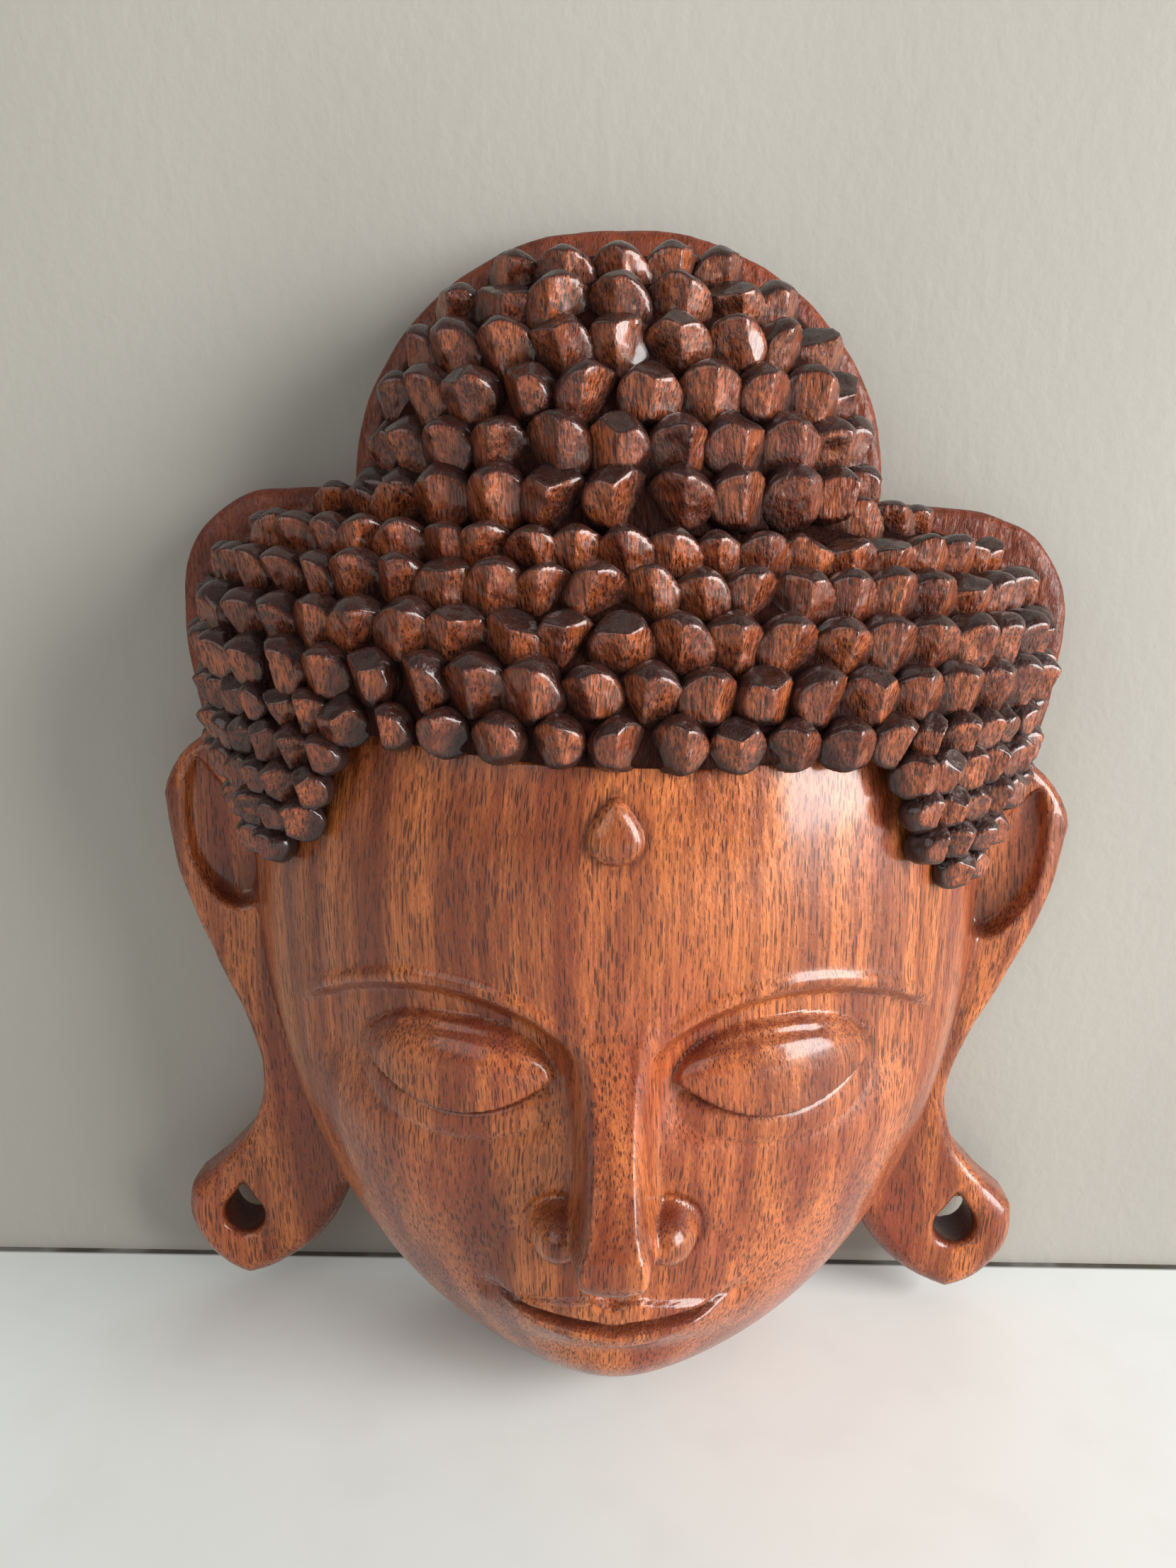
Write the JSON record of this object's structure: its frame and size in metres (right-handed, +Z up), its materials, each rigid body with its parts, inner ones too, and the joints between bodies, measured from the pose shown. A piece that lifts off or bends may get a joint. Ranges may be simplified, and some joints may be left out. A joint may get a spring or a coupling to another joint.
{
  "type": "carved wooden wall mask",
  "caption": "Carved wooden wall mask: calm topknotted head with rows of chiselled curls, long pierced ear lobes, hollow back and a swinging ring hanger.",
  "frame": {"origin": "foot of the flat back on the centre line, under the chin, in the plane that lies on the wall", "axes": "+Z up to the topknot, -Y out of the face, +X to the right as the mask is seen from the front"},
  "size_m": [0.1626, 0.0668, 0.2002],
  "materials": {
    "face_wood": "varnished open-pored hardwood, orange-brown",
    "hair_wood": "varnished hardwood stained darker red-brown",
    "hanger_metal": "zinc-plated steel, slightly dulled"
  },
  "bodies": {
    "mask": {"cap_curls_row_1": "hair_wood", "cap_curls_row_2": "hair_wood", "cap_curls_row_3": "hair_wood", "cap_curls_row_4": "hair_wood", "cap_curls_row_5": "hair_wood", "ear_left": "face_wood", "ear_right": "face_wood", "face_shell": "face_wood", "forehead_drop": "face_wood", "hair_cap": "hair_wood", "hairline_curls": "hair_wood", "hanger_screws": "hanger_metal", "hanger_strap": "hanger_metal", "temple_curls_left": "hair_wood", "temple_curls_right": "hair_wood", "topknot": "hair_wood", "topknot_curls_row_1": "hair_wood", "topknot_curls_row_2": "hair_wood", "topknot_curls_row_3": "hair_wood", "topknot_curls_row_4": "hair_wood", "topknot_curls_row_5": "hair_wood", "topknot_curls_row_6": "hair_wood"},
    "ring": {"hanger_ring": "hanger_metal"}
  },
  "joints": [
    {"name": "ring_swing", "type": "hinge", "parent": "mask", "child": "ring", "pos_m": [0, -0.0046, 0.172], "axis": [1, 0, 0], "range_deg": [0, 175]}
  ]
}
